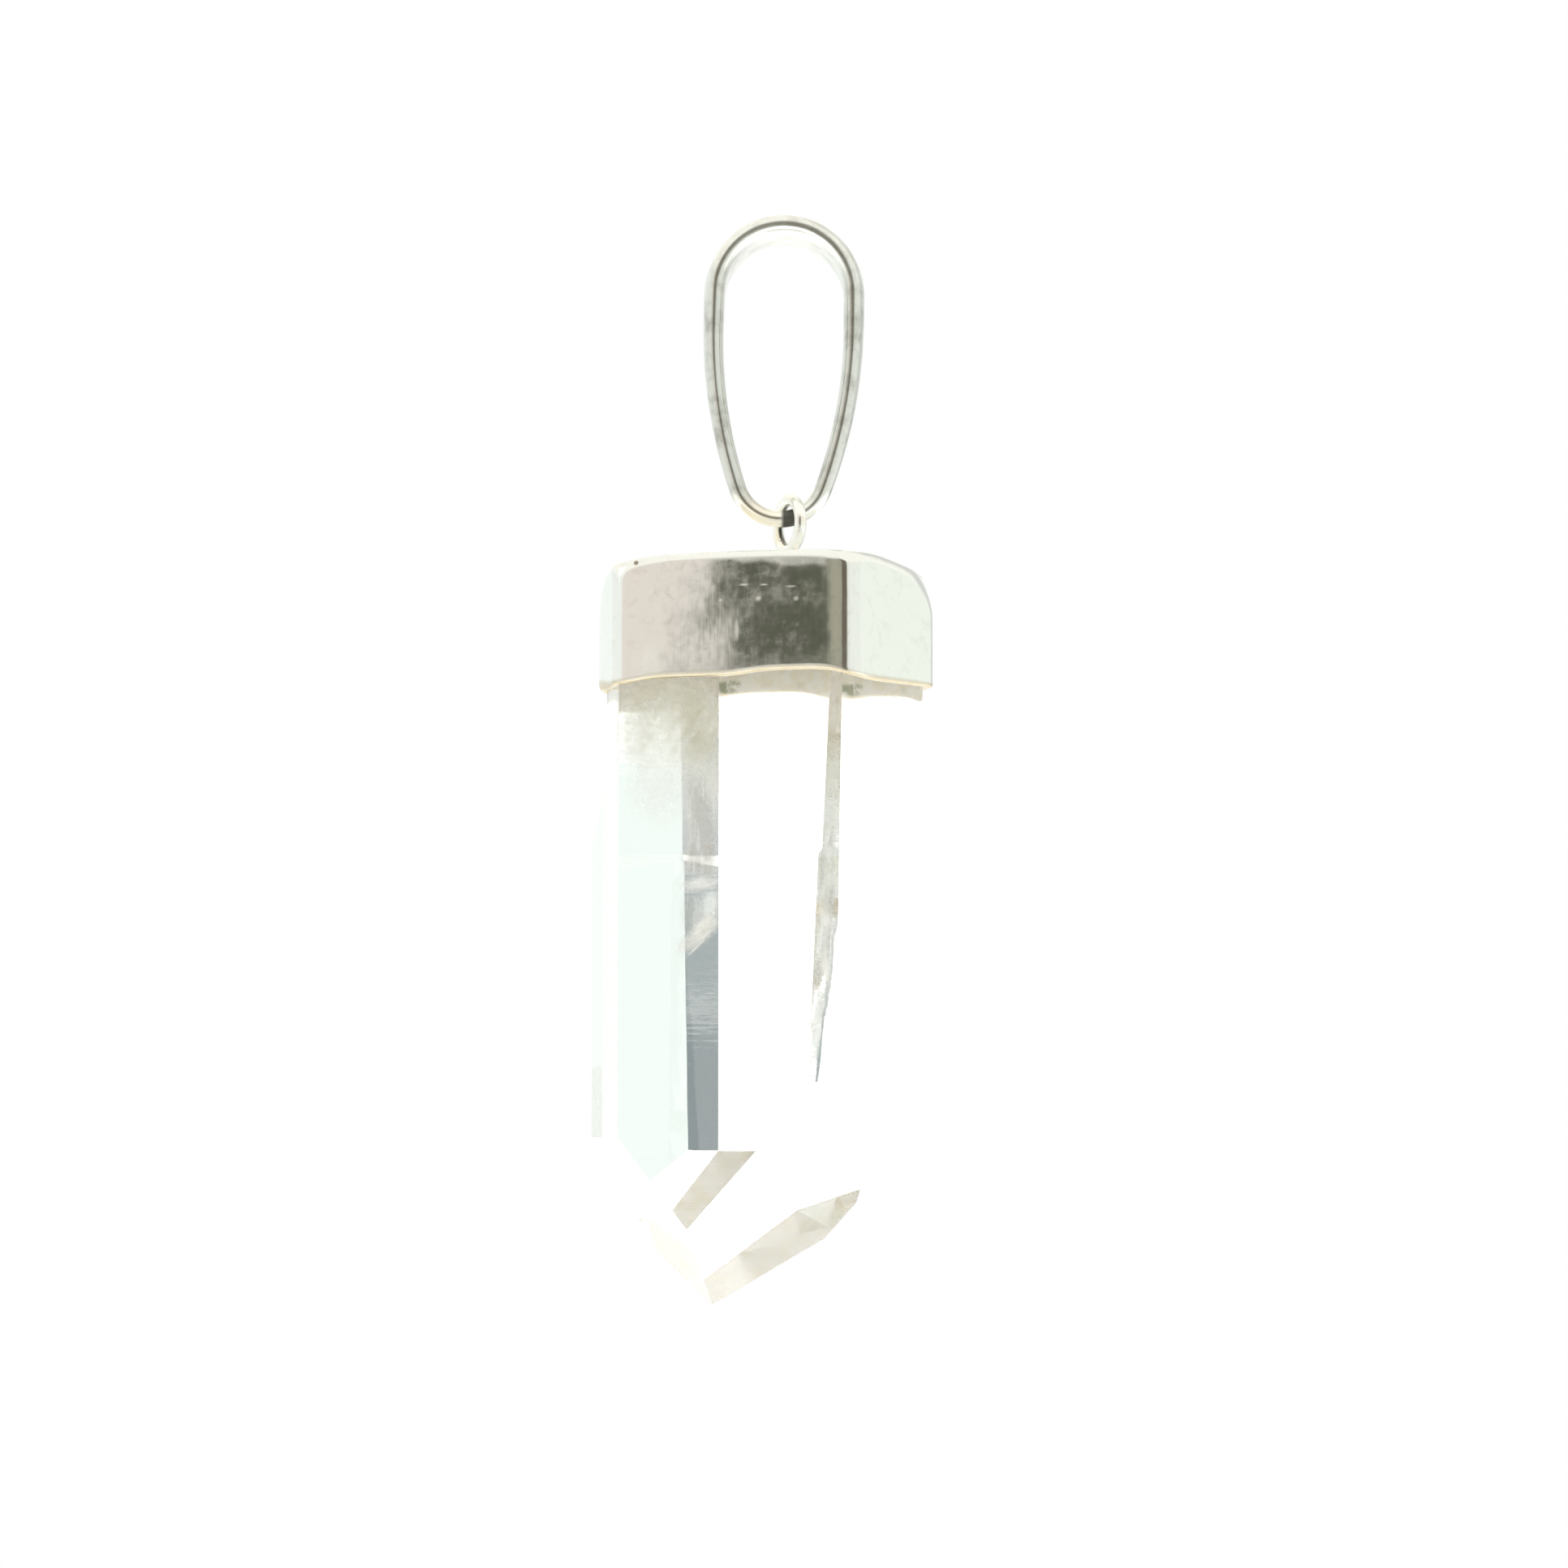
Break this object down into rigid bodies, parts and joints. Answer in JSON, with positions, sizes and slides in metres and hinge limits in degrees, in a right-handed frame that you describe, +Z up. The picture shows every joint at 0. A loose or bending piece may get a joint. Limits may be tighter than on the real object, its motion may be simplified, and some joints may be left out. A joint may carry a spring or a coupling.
{
  "type": "quartz pendant",
  "caption": "Clear quartz crystal point in a faceted silver cap, hanging by its soldered ring from a long tapering silver bail that takes a chain or cord.",
  "frame": {"origin": "inside top of the bail, where the chain sits and the pendant hangs", "axes": "+Z up, -Y towards the viewer of the picture, +X to that viewer's right; the bail's loop lies in the XZ plane and the chain runs along Y"},
  "size_m": [0.0149, 0.0146, 0.0481],
  "materials": {
    "bail_silver": "polished sterling silver with fine wear",
    "cap_silver": "polished sterling silver sheet with light scratches and a little tarnish",
    "quartz": "clear natural quartz with growth lines, veils and small chips"
  },
  "bodies": {
    "bail": {"bail": "bail_silver"},
    "drop": {"cap": "cap_silver", "crystal": "quartz"}
  },
  "joints": [
    {"name": "drop_swing", "type": "hinge", "parent": "bail", "child": "drop", "pos_m": [0.00016, 0, -0.01255], "axis": [1, 0, 0], "range_deg": [-95, 95]}
  ]
}
